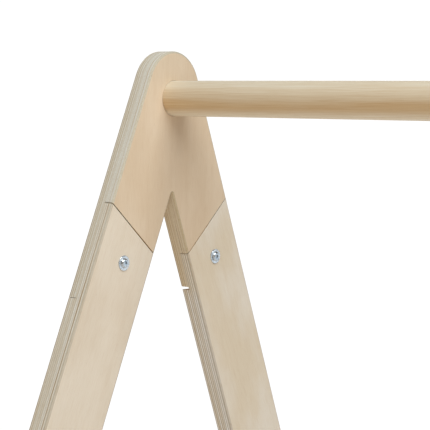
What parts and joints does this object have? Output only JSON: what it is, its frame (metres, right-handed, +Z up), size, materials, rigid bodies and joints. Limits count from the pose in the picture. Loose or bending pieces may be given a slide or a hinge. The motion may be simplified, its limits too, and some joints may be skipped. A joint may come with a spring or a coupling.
{
  "type": "kip bar",
  "caption": "Free-standing wooden kip bar: round bar socketed between two plywood A-frames with bolted half-lap joints, side ties and low stretchers.",
  "frame": {"origin": "on the floor, under the middle of the bar", "axes": "+X along the bar from the left A-frame to the right one, +Y from the front legs to the rear legs, +Z up"},
  "size_m": [1.2108, 1.0746, 1.253],
  "materials": {
    "bar_wood": "satin clear lacquer on long straight grain",
    "plate_plywood": "sanded birch plywood, clear matt varnish, plies showing on the edges",
    "rail_plywood": "sanded birch plywood, clear matt varnish, plies showing on the edges",
    "zinc_steel": "bright zinc plating",
    "rubber": "matt black moulded rubber"
  },
  "bodies": {
    "root": {"bar": "bar_wood", "apex_plate_left": "plate_plywood", "side_tie_left": "rail_plywood", "leg_front_left": "rail_plywood", "foot_front_left": "rubber", "leg_rear_left": "rail_plywood", "foot_rear_left": "rubber", "apex_plate_right": "plate_plywood", "side_tie_right": "rail_plywood", "leg_front_right": "rail_plywood", "foot_front_right": "rubber", "leg_rear_right": "rail_plywood", "foot_rear_right": "rubber", "stretcher_front": "rail_plywood", "stretcher_rear": "rail_plywood", "lap_bolts": "zinc_steel", "lap_washers": "zinc_steel", "lap_sleeve_nuts": "zinc_steel", "tie_bolts": "zinc_steel", "tie_washers": "zinc_steel", "tie_sleeve_nuts": "zinc_steel", "stretcher_bolts": "zinc_steel", "stretcher_washers": "zinc_steel", "stretcher_barrel_nuts": "zinc_steel", "bar_bolts": "zinc_steel", "bar_washers": "zinc_steel", "bar_inserts": "zinc_steel", "bar_pins": "zinc_steel", "foot_screws": "zinc_steel"}
  },
  "joints": []
}
